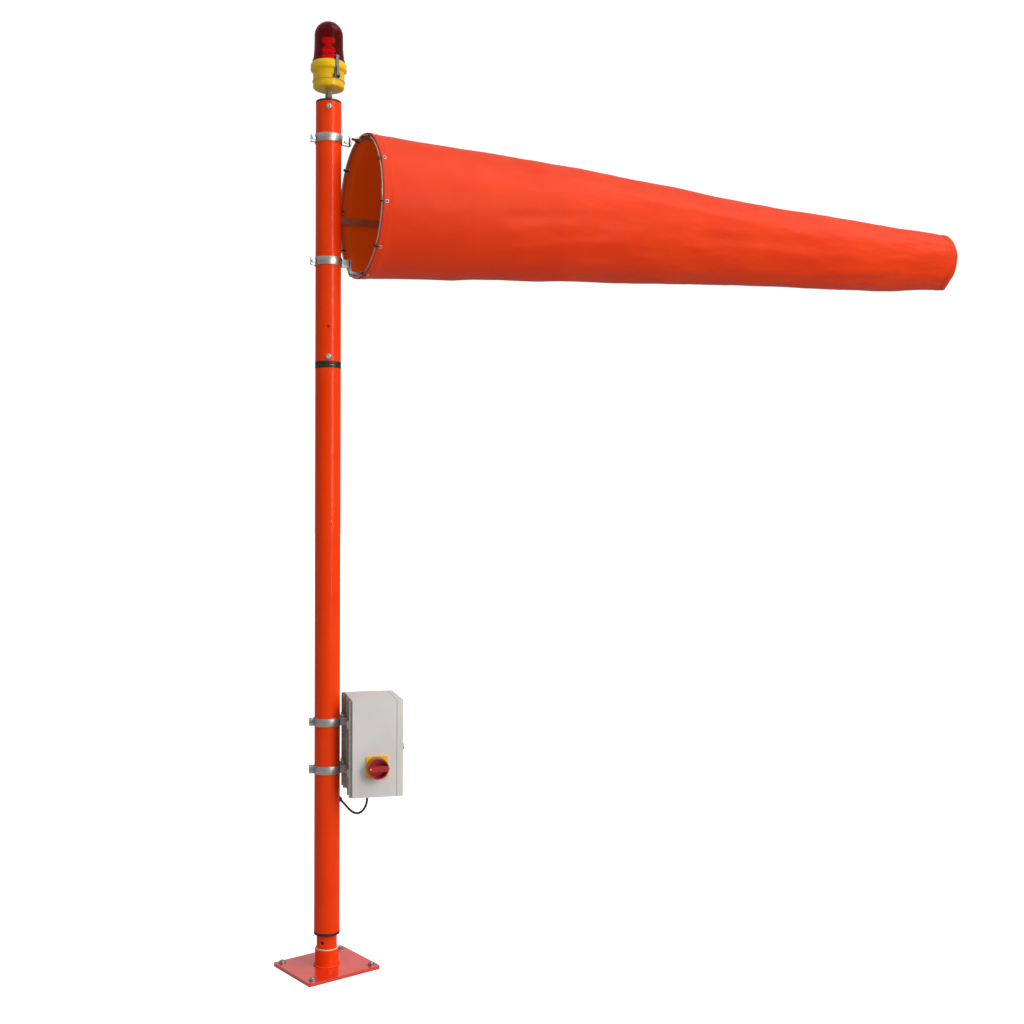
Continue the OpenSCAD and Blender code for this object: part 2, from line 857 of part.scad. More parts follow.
// ---- sock ----

// fabric radius at distance x from the mast
function fabric_r(x) = mouth_d / 2 - fabric_k * (x - mouth_x);

module fabric_shell(x0, x1) {
    rotate([0, 90, 0]) rotate_extrude($fn = 96) polygon([
        [fabric_r(x0), x0], [fabric_r(x1), x1],
        [fabric_r(x1) - fabric_t, x1], [fabric_r(x0) - fabric_t, x0],
    ]);
}

eyelet_angles = [for (i = [0 : eyelet_n - 1]) 90 + eyelet_turn + i * 360 / eyelet_n];

module sock_collar() {
    color(sock_red) on_axis() difference() {
        fabric_shell(mouth_x, basket_end_x);
        around(eyelet_angles) translate([eyelet_x, 0, hoop_r - 10]) cylinder(r = 6.1, h = 30);
    }
}

module eyelets() {
    r = fabric_r(eyelet_x);
    color(steel) on_axis() around(eyelet_angles) translate([eyelet_x, 0, r - 1.8])
        rotate_extrude() difference() {
            translate([3, 0]) square([3, 2.6]);
            translate([3, 2.6]) circle(r = 1.2);
        }
}

// a flat tie from each eyelet round the front of the hoop
module ties() {
    front = hoop_x - 1.8;
    low = hoop_r - hoop_t - 2.8;
    high = fabric_r(eyelet_x) + 1.6;
    color(black) on_axis() around(eyelet_angles) translate([front, -2, low]) difference() {
        cube([eyelet_x + 1.4 - front, 4, high + 1.2 - low]);
        translate([1.2, -1, 1.2]) cube([eyelet_x - 1 - front, 6, high - low - 1.2]);
    }
}

module sock_front() {
    color(sock_red) on_axis() fabric_shell(cone_x, panel_x);
}

module sock_back() {
    color(sock_red) on_axis() fabric_shell(panel_x, tail_x);
}

base_plate();
base_socket();
socket_seal();
anchor_washers();
anchor_nuts();
inner_mast();
foot_ring();
lower_tube();
stator_ring();
thrust_washer();
mast_plug();
beacon_stem();
beacon_base();
beacon_gasket();
beacon_lens();
beacon_lamp();
beacon_tether();
latch_feet();
latch_near();
latch_far();
box_clamps_near();
box_clamps_far();
box_clamp_bolts();
box_rails();
rail_bolts();
box_body();
gear_plate();
din_rail();
terminal_block();
power_unit();
hinge_pins();
switch_body();
switch_plate();
switch_knob();
door();
door_gasket();
door_lock();
mast_grommet();
cable();
box_gland();
riser_cable();
head_sleeve();
rotor_ring();
head_bush();
head_cap();
head_screws();
sock_clamps_near();
sock_clamps_far();
sock_clamp_bolts();
bracket_upper();
bracket_lower();
mouth_hoop();
rear_hoop();
basket_struts();
basket_bolts();
eyelets();
ties();
sock_collar();
sock_front();
sock_back();
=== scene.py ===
"""Looks of the windsock with pole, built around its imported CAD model. Metres, row frame."""

import math

import bpy
import numpy as np
from mathutils import Matrix, Vector, noise


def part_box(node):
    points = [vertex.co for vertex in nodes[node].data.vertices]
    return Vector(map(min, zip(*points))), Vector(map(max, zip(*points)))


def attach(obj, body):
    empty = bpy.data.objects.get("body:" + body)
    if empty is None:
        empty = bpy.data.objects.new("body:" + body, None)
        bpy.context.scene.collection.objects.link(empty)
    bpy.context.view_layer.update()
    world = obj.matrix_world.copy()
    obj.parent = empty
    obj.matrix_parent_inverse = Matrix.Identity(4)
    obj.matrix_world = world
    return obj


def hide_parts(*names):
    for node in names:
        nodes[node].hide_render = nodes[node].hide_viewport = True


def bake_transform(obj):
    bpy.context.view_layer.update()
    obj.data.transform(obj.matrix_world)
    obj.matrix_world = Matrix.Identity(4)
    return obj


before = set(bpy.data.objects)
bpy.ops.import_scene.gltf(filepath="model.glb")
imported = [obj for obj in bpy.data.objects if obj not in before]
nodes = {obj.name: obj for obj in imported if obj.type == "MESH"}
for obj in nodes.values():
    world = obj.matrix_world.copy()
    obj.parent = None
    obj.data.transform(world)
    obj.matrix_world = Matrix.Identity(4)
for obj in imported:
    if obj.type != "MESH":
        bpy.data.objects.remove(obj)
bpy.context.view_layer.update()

# ---------------------------------------------------------------- places and sizes
def heading(degrees):
    """The way something points, and the way to its side, away from the camera."""
    a = math.radians(degrees)
    return Vector((math.cos(a), math.sin(a), 0)), Vector((-math.sin(a), math.cos(a), 0))


ALONG, AWAY = heading(-14)
BOX_ALONG, BOX_AWAY = heading(-24)
UP = Vector((0, 0, 1))


def at(u, v, z):
    """A place along and beside the sock's direction."""
    return ALONG * u + AWAY * v + UP * z


def at_box(u, v, z):
    """A place along and beside the direction that the switch box faces."""
    return BOX_ALONG * u + BOX_AWAY * v + UP * z


def middle(node):
    """The middle of a CAD node's box."""
    low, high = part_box(node)
    return (low + high) / 2


# basket and sock; a name that ends in U is a distance from the mast's axis along the sock
SOCK_Z = middle("mouth_hoop").z
MOUTH_U = 0.101
TAIL_U = 2.412
EYELET_U = 0.111
EYELET_COUNT = 10
EYELET_FIRST = math.radians(-8)
HOOP_R = 0.212
HOOP_FRONT_U = 0.097
REAR_HOOP_END_U = 0.412
SHEET_T = 0.0012
# places for a bend of the free cloth behind the rear hoop, and for where it would hang straight; the
# cloth is not bent
BEND_START_U = 0.420
BEND_END_U = 0.98

# the mast's outer tube, and the switch's knob beside the box
MAST_R = 0.03805
KNOB_ALONG_BOX = 0.135
KNOB_SIDE = -0.104
KNOB_PROUD = 0.0340
KNOB_DOT_FROM_AXIS = 0.0235

CAMERA_PLACE = (-1.914, -3.283, 1.366)
CAMERA_YAW = -38.6
CAMERA_ROLL = -0.135
CAMERA_LENS_MM = 44.1


# ---------------------------------------------------------------- camera, floor and light
def make_camera():
    """A level camera in front of the object, with a hair of roll."""
    data = bpy.data.cameras.new("camera")
    data.sensor_width = 36
    data.lens = CAMERA_LENS_MM
    camera = bpy.data.objects.new("camera", data)
    camera.location = CAMERA_PLACE
    camera.rotation_euler = [math.radians(a) for a in (90, CAMERA_ROLL, CAMERA_YAW)]
    bpy.context.scene.collection.objects.link(camera)
    bpy.context.scene.camera = camera


def area_light(name, place, target, size, power):
    data = bpy.data.lights.new(name, "AREA")
    data.shape = "RECTANGLE"
    data.size, data.size_y = size
    data.energy = power
    light = bpy.data.objects.new(name, data)
    light.location = place
    light.rotation_euler = (Vector(target) - Vector(place)).to_track_quat("-Z", "Y").to_euler()
    light.visible_camera = False
    bpy.context.scene.collection.objects.link(light)


def sun_light(direction, strength, angle):
    data = bpy.data.lights.new("sun", "SUN")
    data.energy = strength
    data.angle = math.radians(angle)
    light = bpy.data.objects.new("sun", data)
    light.rotation_euler = Vector(direction).to_track_quat("-Z", "Y").to_euler()
    bpy.context.scene.collection.objects.link(light)


# how far up the sky, from straight down at 0 to straight up at 1, and how bright
SKY = ((0.0, 0.30), (0.46, 0.30), (0.53, 0.20), (0.66, 0.52), (1.0, 0.78))


def make_world():
    """A studio that is pure white to the camera and shades from floor to ceiling for the rest."""
    world = bpy.data.worlds.new("studio")
    bpy.context.scene.world = world
    world.use_nodes = True
    tree = world.node_tree
    shade = tree.nodes["Background"]
    shade.inputs["Strength"].default_value = 0.9
    white = tree.nodes.new("ShaderNodeBackground")
    white.inputs["Color"].default_value = (1, 1, 1, 1)
    white.inputs["Strength"].default_value = 1.05
    where = tree.nodes.new("ShaderNodeTexCoord")
    split = tree.nodes.new("ShaderNodeSeparateXYZ")
    share = tree.nodes.new("ShaderNodeMapRange")
    share.inputs["From Min"].default_value = -1
    ramp = tree.nodes.new("ShaderNodeValToRGB")
    set_ramp(ramp, [(place, (v, v, v * 1.02)) for place, v in SKY])
    path = tree.nodes.new("ShaderNodeLightPath")
    mix = tree.nodes.new("ShaderNodeMixShader")
    tree.links.new(where.outputs["Generated"], split.inputs[0])
    tree.links.new(split.outputs["Z"], share.inputs["Value"])
    tree.links.new(share.outputs["Result"], ramp.inputs["Fac"])
    tree.links.new(ramp.outputs["Color"], shade.inputs["Color"])
    tree.links.new(path.outputs["Is Camera Ray"], mix.inputs["Fac"])
    tree.links.new(shade.outputs[0], mix.inputs[1])
    tree.links.new(white.outputs[0], mix.inputs[2])
    tree.links.new(mix.outputs[0], tree.nodes["World Output"].inputs["Surface"])


def set_ramp(ramp, stops):
    """Gives a colour ramp its (place, colour) stops."""
    elements = ramp.color_ramp.elements
    while len(elements) < len(stops):
        elements.new(0.5)
    for element, (place, colour) in zip(elements, stops):
        element.position = place
        element.color = (*colour, 1)


# ---------------------------------------------------------------- materials
def srgb(r, g, b):
    """The linear colour of an 8-bit one."""
    return tuple(c / 255 / 12.92 if c < 11 else ((c / 255 + 0.055) / 1.055) ** 2.4 for c in (r, g, b))


class Finish:
    """A principled material whose colour, roughness and bump come from procedural textures."""

    def __init__(self, name, metal=0.0, coordinates="Object", **sockets):
        self.material = bpy.data.materials.new(name)
        self.material.use_nodes = True
        self.tree = self.material.node_tree
        self.shader = self.tree.nodes["Principled BSDF"]
        self.shader.inputs["Metallic"].default_value = metal
        for socket, value in sockets.items():
            self.shader.inputs[socket.replace("_", " ")].default_value = value
        self.where = self.tree.nodes.new("ShaderNodeTexCoord").outputs[coordinates]
        self.normal = None

    def node(self, kind, **inputs):
        made = self.tree.nodes.new(kind)
        for socket, value in inputs.items():
            made.inputs[socket.replace("_", " ")].default_value = value
        return made

    def noise(self, scale, stretch=(1, 1, 1), detail=4.0):
        mapping = self.node("ShaderNodeMapping", Scale=stretch)
        texture = self.node("ShaderNodeTexNoise", Scale=scale, Detail=detail, Roughness=0.55)
        self.tree.links.new(self.where, mapping.inputs["Vector"])
        self.tree.links.new(mapping.outputs[0], texture.inputs["Vector"])
        return texture.outputs["Fac"]

    def bands(self, scale, axis, distort=0.0):
        texture = self.node("ShaderNodeTexWave", Scale=scale, Distortion=distort)
        texture.bands_direction = axis
        self.tree.links.new(self.where, texture.inputs["Vector"])
        return texture.outputs["Fac"]

    def colour(self, stops, scale, stretch=(1, 1, 1), detail=4.0):
        ramp = self.node("ShaderNodeValToRGB")
        set_ramp(ramp, stops)
        self.tree.links.new(self.noise(scale, stretch, detail), ramp.inputs["Fac"])
        self.tree.links.new(ramp.outputs["Color"], self.shader.inputs["Base Color"])
        return self

    def rough(self, low, high, scale, stretch=(1, 1, 1), detail=4.0):
        span = self.node("ShaderNodeMapRange", From_Min=0.3, From_Max=0.7, To_Min=low, To_Max=high)
        self.tree.links.new(self.noise(scale, stretch, detail), span.inputs["Value"])
        self.tree.links.new(span.outputs["Result"], self.shader.inputs["Roughness"])
        return self

    def bump(self, height, distance, strength=1.0):
        bump = self.node("ShaderNodeBump", Distance=distance, Strength=strength)
        self.tree.links.new(height, bump.inputs["Height"])
        if self.normal:
            self.tree.links.new(self.normal, bump.inputs["Normal"])
        self.normal = bump.outputs["Normal"]
        self.tree.links.new(self.normal, self.shader.inputs["Normal"])
        return self


def two(dark, light):
    """Colour stops from a darker to a lighter shade over the middle of a noise's range."""
    return [(0.30, srgb(*dark)), (0.70, srgb(*light))]


def orange_paint():
    f = Finish("orange_paint", Coat_Weight=0.14, Coat_Roughness=0.08, Specular_IOR_Level=0.08)
    f.colour(two((236, 56, 0), (244, 64, 0)), 6).rough(0.28, 0.42, 30)
    return f.bump(f.noise(320, detail=2), 0.00006).bump(f.noise(18), 0.0003).material


def plate_paint():
    f = Finish("plate_paint", Coat_Weight=1.0, Coat_Roughness=0.03, Coat_IOR=1.7)
    f.colour(two((222, 38, 0), (232, 48, 2)), 9).rough(0.25, 0.40, 25)
    return f.bump(f.noise(240, detail=2), 0.00002).bump(f.noise(14), 0.0001).material


def stainless():
    f = Finish("stainless", metal=1.0)
    f.colour(two((180, 178, 173), (198, 196, 191)), 60, (1, 1, 6)).rough(0.38, 0.48, 90, (1, 1, 8))
    return f.bump(f.noise(500, (1, 1, 10), 2), 0.00001).material


def dull_steel():
    f = Finish("dull_steel", metal=1.0)
    f.colour(two((168, 163, 154), (192, 188, 180)), 40, (1, 1, 4)).rough(0.36, 0.48, 60)
    return f.bump(f.noise(400, detail=3), 0.00002).material


def aged_steel():
    f = Finish("aged_steel", metal=1.0)
    f.colour(two((96, 94, 92), (128, 126, 123)), 120).rough(0.50, 0.62, 120)
    return f.bump(f.noise(600, detail=3), 0.00003).material


def zinc_steel():
    f = Finish("zinc_steel", metal=1.0)
    f.colour(two((138, 142, 146), (166, 170, 175)), 90).rough(0.30, 0.42, 120)
    return f.bump(f.noise(600, detail=3), 0.00002).material


def stem_steel():
    f = Finish("stem_steel", metal=1.0)
    f.colour(two((196, 192, 184), (224, 220, 212)), 150).rough(0.26, 0.38, 200)
    return f.bump(f.bands(400, "Z", 0.3), 0.0003).material


def black_nylon():
    f = Finish("black_nylon")
    f.colour(two((18, 18, 19), (34, 34, 35)), 70).rough(0.38, 0.58, 120)
    return f.bump(f.noise(500), 0.00008).bump(f.bands(250, "Z", 0.6), 0.00004).material


def black_rubber():
    f = Finish("black_rubber")
    f.colour(two((16, 16, 16), (30, 29, 28)), 90).rough(0.55, 0.80, 90)
    return f.bump(f.noise(700), 0.00012).material


def cable_sheath():
    f = Finish("cable_sheath", Sheen_Weight=0.15)
    f.colour(two((14, 14, 14), (30, 30, 30)), 60).rough(0.40, 0.60, 80)
    return f.bump(f.noise(260, (1, 1, 0.2)), 0.00015).material


def box_paint():
    f = Finish("box_paint", Specular_IOR_Level=0.45)
    f.colour(two((205, 203, 197), (214, 212, 206)), 7).rough(0.42, 0.55, 40)
    return f.bump(f.noise(420, detail=3), 0.00012).bump(f.noise(60), 0.00012).material


def grey_plastic():
    f = Finish("grey_plastic")
    f.colour(two((120, 122, 124), (146, 148, 150)), 50).rough(0.40, 0.55, 90)
    return f.bump(f.noise(400), 0.0001).material


def yellow_plastic():
    f = Finish("yellow_plastic", Coat_Weight=0.20, Coat_Roughness=0.10, Specular_IOR_Level=0.2)
    f.colour(two((228, 178, 0), (244, 198, 0)), 26).rough(0.30, 0.45, 80)
    return f.bump(f.noise(380, detail=3), 0.00010).bump(f.noise(40), 0.0002).material


def red_plastic():
    f = Finish("red_plastic", Coat_Weight=0.5, Coat_Roughness=0.08)
    f.colour(two((164, 2, 6), (190, 8, 10)), 40).rough(0.24, 0.36, 90)
    return f.bump(f.noise(500), 0.00005).material


def red_lens():
    f = Finish("red_lens", Transmission_Weight=0.96, IOR=1.14, Coat_Weight=0.10,
               Coat_Roughness=0.03)
    f.colour([(0.3, (0.34, 0.0, 0.001)), (0.7, (0.42, 0.0, 0.001))], 24).rough(0.17, 0.24, 60)
    return f.bump(f.noise(90), 0.0002).material


def lamp_white():
    f = Finish("lamp_white", Emission_Color=(1.0, 0.02, 0.0, 1), Emission_Strength=0.8)
    f.colour(two((222, 218, 212), (240, 238, 234)), 60).rough(0.25, 0.45, 60)
    return f.bump(f.noise(300), 0.00006).material


def copper_wire():
    f = Finish("copper_wire", metal=0.6)
    f.colour(two((196, 140, 120), (222, 176, 156)), 120).rough(0.30, 0.45, 200)
    return f.bump(f.noise(900), 0.00006).material


def bearing_bronze():
    f = Finish("bearing_bronze", metal=1.0)
    f.colour(two((170, 130, 70), (200, 160, 96)), 120).rough(0.25, 0.45, 150)
    return f.bump(f.noise(500, (1, 1, 5)), 0.00005).material


def sealant():
    f = Finish("sealant", Subsurface_Weight=0.15)
    f.colour(two((206, 180, 140), (238, 226, 200)), 160).rough(0.35, 0.60, 200)
    return f.bump(f.noise(500), 0.0003).material


def cloth_finish(name, dark, light, **sockets):
    """Coated cloth: a fine weave, soft cockles and a slight satin shine."""
    f = Finish(name, coordinates="UV", Sheen_Roughness=0.5, **sockets)
    f.shader.inputs["Sheen Tint"].default_value = (1.0, 0.40, 0.25, 1)
    f.colour(two(dark, light), 3.2, detail=6).rough(0.44, 0.56, 9, detail=6)
    f.bump(f.bands(520, "X"), 0.00004).bump(f.bands(520, "Y"), 0.00004)
    f.bump(f.noise(11, (1, 0.7, 1), detail=5), 0.0034, 0.9)
    return f.material


def sock_fabric():
    return cloth_finish("sock_fabric", (222, 52, 3), (234, 63, 6), Sheen_Weight=0.01,
                        Specular_IOR_Level=0.12, Coat_Weight=0.07, Coat_Roughness=0.38)


def sock_lining_painted_glow():
    """The inside of the same cloth, with painted light: a lighter orange and a faint glow stand in
    for the light from outside that shines through.
    """
    return cloth_finish("sock_lining_painted_glow", (206, 76, 2), (216, 86, 4), Specular_IOR_Level=0.15,
                        # painted glow on the inside faces, standing in for light that shines through
                        # the cloth
                        Emission_Color=(0.45, 0.060, 0.0, 1), Emission_Strength=0.20)


def thread():
    f = Finish("thread", Sheen_Weight=0.5)
    f.colour(two((196, 44, 14), (222, 66, 26)), 300).rough(0.5, 0.7, 300)
    return f.bump(f.noise(2500), 0.0001).material


def floor_finish():
    """A pale sweep: pure white to the camera, while the things on it get a softer bounce."""
    f = Finish("floor_finish", Specular_IOR_Level=0.0, Emission_Color=(1, 1, 1, 1))
    f.colour([(0.3, (0.40, 0.40, 0.40)), (0.7, (0.43, 0.43, 0.43))], 2).rough(0.6, 0.75, 8)
    seen = f.node("ShaderNodeLightPath").outputs["Is Camera Ray"]
    f.tree.links.new(seen, f.shader.inputs["Emission Strength"])
    return f.bump(f.noise(60), 0.0002).material


FINISHES = {
    make.__name__: make()
    for make in (
        orange_paint, plate_paint, stainless, dull_steel, aged_steel, zinc_steel, stem_steel,
        black_nylon, black_rubber, cable_sheath, box_paint, grey_plastic, yellow_plastic,
        red_plastic, red_lens, lamp_white, copper_wire, bearing_bronze, sealant, sock_fabric,
        sock_lining_painted_glow, thread, floor_finish,
    )
}

# finish, edge bevel in millimetres, and the CAD nodes that wear them
DRESS = (
    ("plate_paint", 1.0, ("base_plate",)),
    ("orange_paint", 0, ("base_socket", "inner_mast", "lower_tube", "head_sleeve")),
    ("zinc_steel", 0.4, ("anchor_washers", "anchor_nuts", "box_clamp_bolts", "rail_bolts",
                         "sock_clamp_bolts", "hinge_pins")),
    ("aged_steel", 0.4, ("latch_near", "latch_far", "latch_feet")),
    ("dull_steel", 0.5, ("box_rails", "din_rail", "basket_struts")),
    ("zinc_steel", 0, ("gear_plate", "mast_plug")),
    ("stainless", 0.4, ("sock_clamps_near", "sock_clamps_far", "box_clamps_near",
                        "box_clamps_far", "bracket_upper", "bracket_lower", "mouth_hoop",
                        "rear_hoop", "basket_bolts", "door_lock")),
    ("stem_steel", 0, ("beacon_stem",)),
    ("black_nylon", 0.6, ("foot_ring", "stator_ring", "rotor_ring", "head_cap")),
    ("black_nylon", 0, ("head_bush", "switch_body", "box_gland")),
    ("black_rubber", 0, ("beacon_gasket", "door_gasket", "mast_grommet")),
    ("cable_sheath", 0, ("riser_cable",)),
    ("box_paint", 1.0, ("box_body", "door")),
    ("grey_plastic", 0.4, ("terminal_block", "power_unit")),
    ("yellow_plastic", 0.8, ("beacon_base", "switch_plate")),
    ("red_plastic", 0.9, ("switch_knob",)),
    ("lamp_white", 0, ("beacon_lamp",)),
    ("copper_wire", 0, ("beacon_tether",)),
    ("bearing_bronze", 0, ("thrust_washer",)),
)


def dress(obj, finish, bevel):
    """Gives a CAD node its material and softens its sharp edges."""
    obj.data.materials.clear()
    obj.data.materials.append(FINISHES[finish])
    if bevel:
        weld = obj.modifiers.new("weld", "WELD")
        weld.merge_threshold = 1e-5
        edge = obj.modifiers.new("bevel", "BEVEL")
        edge.width = bevel / 1000
        edge.segments = 2
        edge.limit_method = "ANGLE"
        edge.angle_limit = math.radians(38)
        edge.harden_normals = True


# ---------------------------------------------------------------- mesh helpers
def add_mesh(name, points, faces, finish, smooth=True):
    """A new object in the scene, in the row frame."""
    mesh = bpy.data.meshes.new(name)
    mesh.from_pydata([tuple(p) for p in points], [], faces)
    mesh.validate()
    mesh.materials.append(FINISHES[finish])
    mesh.polygons.foreach_set("use_smooth", [smooth] * len(mesh.polygons))
    obj = bpy.data.objects.new(name, mesh)
    bpy.context.scene.collection.objects.link(obj)
    return obj


class Pieces:
    """Collects several shapes into one mesh."""

    def __init__(self):
        self.points, self.faces = [], []

    def add(self, points, faces):
        first = len(self.points)
        self.points += [Vector(p) for p in points]
        self.faces += [tuple(first + i for i in face) for face in faces]

    def build(self, name, finish, smooth=True):
        return add_mesh(name, self.points, self.faces, finish, smooth)


def grid_faces(rows, columns, closed_rows=False):
    """Quads between rows of points, each row a ring of columns."""
    last_row = rows if closed_rows else rows - 1
    return [
        (i * columns + j, i * columns + (j + 1) % columns,
         (i + 1) % rows * columns + (j + 1) % columns, (i + 1) % rows * columns + j)
        for i in range(last_row) for j in range(columns)
    ]


def lathe(profile, matrix, steps, closed=False, wobble=None):
    """Turns (radius, height) points round local Z; wobble(angle, row) adds to the radius."""
    points = []
    for row, (r, z) in enumerate(profile):
        for k in range(steps):
            a = 2 * math.pi * k / steps
            wide = r + (wobble(a, row) if wobble else 0)
            points.append(matrix @ Vector((wide * math.cos(a), wide * math.sin(a), z)))
    return points, grid_faces(len(profile), steps, closed_rows=closed)


def local(origin, x, y, z):
    """Matrix from local axes, given as vectors, to the row frame."""
    made = Matrix((x, y, z)).transposed().to_4x4()
    made.translation = origin
    return made


def arc(cx, cz, r, start, end, steps):
    """Points of an arc in a lathe profile, angles in degrees."""
    return [
        (cx + r * math.cos(math.radians(start + (end - start) * k / steps)),
         cz + r * math.sin(math.radians(start + (end - start) * k / steps)))
        for k in range(steps + 1)
    ]


# ---------------------------------------------------------------- sock
# distance from the mast's axis, fabric radius and height of the sock's middle
SOCK_STATIONS = (
    (0.101, 0.2160, 2.2900), (0.230, 0.2082, 2.2912), (0.412, 0.2015, 2.2945),
    (0.470, 0.1978, 2.2980), (0.637, 0.1912, 2.3012), (0.854, 0.1796, 2.3030),
    (1.081, 0.1642, 2.3028), (1.319, 0.1514, 2.3013), (1.568, 0.1398, 2.3016),
    (1.830, 0.1292, 2.3030), (2.105, 0.1146, 2.3045), (2.390, 0.1002, 2.3120),
    (2.412, 0.0996, 2.3125),
)
SEAM_ANGLE = math.radians(-128)
HEM_W = 0.026
SEAM_W = 0.012
FOLD_T = 0.0009
COLUMNS = 200


def smooth_step(x, start, end):
    """Goes from 0 at start to 1 at end without a kink."""
    t = min(1.0, max(0.0, (x - start) / (end - start)))
    return t * t * (3 - 2 * t)


def station(s):
    """Radius and middle height of the sock at distance s, smoothed between the stations."""
    us, rs, zs = zip(*SOCK_STATIONS)
    spread = min(0.10, s - MOUTH_U, abs(s - REAR_HOOP_END_U) / 2 + 0.01, TAIL_U - s)
    side = 6
    picks = [s + spread * k / side for k in range(-side, side + 1)]
    weights = [math.cos(math.pi * k / (2 * side + 2)) ** 2 for k in range(-side, side + 1)]
    total = sum(weights)
    r = sum(w * np.interp(p, us, rs) for p, w in zip(picks, weights)) / total
    z = sum(w * np.interp(p, us, zs) for p, w in zip(picks, weights)) / total
    return float(r), float(z)


def plain_radius(s):
    """The radius of the straight cone that the sock nearly is, for widths measured on it."""
    start_r, taper = 0.22, 0.052
    return start_r - taper * s


def turn_between(angle, other):
    """The turn from one angle to another, from half a turn back to half a turn on."""
    return (angle - other + math.pi) % (2 * math.pi) - math.pi


def crease(angle, s, degrees, start, twist, length, width, height):
    """One soft fold that winds round the sock as it runs along it."""
    run = s - start
    if not 0 < run < length:
        return 0.0
    off = turn_between(angle, math.radians(degrees) + twist * run) * plain_radius(s)
    fade = smooth_step(run, 0, 0.25 * length) * (1 - smooth_step(run, 0.6 * length, length))
    return height * fade * math.exp(-((off / width) ** 2))


CREASES = (
    # degrees from the near side upwards, start, twist, length, width, height
    (58, 0.14, -1.10, 0.55, 0.020, 0.0040),
    (38, 0.20, -0.55, 0.80, 0.026, -0.0032),
    (-22, 0.16, 0.50, 0.70, 0.024, -0.0035),
    (-48, 0.35, 0.70, 0.75, 0.022, 0.0034),
    (30, 0.85, -0.35, 0.95, 0.024, 0.0030),
    (-12, 1.05, 0.25, 0.90, 0.022, -0.0030),
    (60, 1.30, -0.50, 0.80, 0.020, -0.0028),
    (-55, 1.40, 0.45, 0.85, 0.020, 0.0030),
    (140, 0.25, 0.60, 0.80, 0.028, 0.0040),
    (200, 0.60, -0.40, 0.90, 0.026, -0.0040),
    (160, 1.30, 0.50, 0.80, 0.022, 0.0035),
)


def fabric_offset(angle, s):
    """How far the cloth stands from its smooth cone: folds, puckers and soft dents."""
    free = smooth_step(s, REAR_HOOP_END_U, 0.60) * (1 - 0.5 * smooth_step(s, 2.30, TAIL_U))
    held = smooth_step(s, 0.13, 0.20) * (1 - smooth_step(s, 0.36, REAR_HOOP_END_U))
    around = Vector((math.cos(angle), math.sin(angle), 0))
    soft = noise.fractal(Vector((around.x * 1.1, around.y * 1.1, s * 1.9)), 0.6, 2.0, 3)
    fine = noise.fractal(Vector((around.x * 3.4, around.y * 3.4, s * 6.5 + 7)), 0.7, 2.0, 3)
    folds = sum(crease(angle, s, *c) for c in CREASES)
    pucker = 0.0006 * math.cos(EYELET_COUNT * (angle - EYELET_FIRST))
    pucker *= 1 - smooth_step(s, 0.12, 0.30)
    sway = 0.0020 * math.sin(2 * angle + 5.2 * s) * smooth_step(s, 0.45, 0.9)
    moving = max(free, 0.45 * held)
    return moving * (0.0040 * soft + 0.0019 * fine + 1.25 * folds) + sway + pucker


def seam_rise(angle, s):
    """Extra cloth of the hems at both ends and of the lengthwise seam."""
    if s < MOUTH_U + HEM_W or s > TAIL_U - HEM_W:
        return FOLD_T
    off = abs(turn_between(angle, SEAM_ANGLE)) * plain_radius(s)
    return FOLD_T if off < SEAM_W / 2 else 0.0


def on_sock(angle, s, lift=0.0):
    """A point on the cloth's outside; angle 0 is the near side and 90 degrees is the top."""
    near = max(0.0, math.cos(angle))
    # the near side of the tail ends a little sooner
    s -= (0.083 * near - 0.048 * near * near) * smooth_step(s, 1.8, TAIL_U)
    r, z = station(s)
    r += fabric_offset(angle, s) + lift
    return at(s, -r * math.cos(angle), z + r * math.sin(angle))


def sock_rows():
    """Distances of the rings of points, closer at the hems and the eyelets."""
    around, step, count = 0.007, 0.0004, 205
    rows = [MOUTH_U, EYELET_U - around, EYELET_U, EYELET_U + around,
            MOUTH_U + HEM_W - step, MOUTH_U + HEM_W + step]
    first, last = rows[-1], TAIL_U - HEM_W
    rows += [first + (last - step - first) * k / count for k in range(1, count + 1)]
    return rows + [last + step, TAIL_U - HEM_W / 2, TAIL_U]


EYELET_ROW = 2
EYELET_HOLE_R = 0.0034


def cut_eyelet_holes(points, faces):
    """The four quads round each eyelet give way to a ring of quads with a hole in it."""
    centres = [k * COLUMNS // EYELET_COUNT for k in range(EYELET_COUNT)]
    gone = {
        (EYELET_ROW - 1 + i) * COLUMNS + (c - 1 + j) % COLUMNS
        for c in centres for i in (0, 1) for j in (0, 1)
    }
    faces = [face for face in faces if face[0] not in gone]
    steps = ((-1, -1), (-1, 0), (-1, 1), (0, 1), (1, 1), (1, 0), (1, -1), (0, -1))
    for c in centres:
        rim = [(EYELET_ROW + i) * COLUMNS + (c + j) % COLUMNS for i, j in steps]
        centre = points[EYELET_ROW * COLUMNS + c]
        first = len(points)
        points += [centre + (points[k] - centre).normalized() * EYELET_HOLE_R for k in rim]
        faces += [(rim[k], rim[(k + 1) % 8], first + (k + 1) % 8, first + k) for k in range(8)]
    return points, faces


def sock_cloth():
    """The outer face of the cloth, which a modifier gives its thickness and its lining."""
    rows = sock_rows()
    angles = [EYELET_FIRST + k * (2 * math.pi / COLUMNS) for k in range(COLUMNS)]
    points = [on_sock(a, s, seam_rise(a, s)) for s in rows for a in angles]
    points, faces = cut_eyelet_holes(points, grid_faces(len(rows), COLUMNS))
    outward = [tuple(reversed(face)) for face in faces]
    cloth = add_mesh("sock_cloth", points, outward, "sock_fabric")
    unwrap(cloth)
    thick = cloth.modifiers.new("thickness", "SOLIDIFY")
    thick.thickness = SHEET_T
    thick.offset = -1
    thick.material_offset = 1
    # the inside faces take the lining, whose lighter orange and glow are painted light shining
    # through the cloth
    cloth.data.materials.append(FINISHES["sock_lining_painted_glow"])
    return cloth


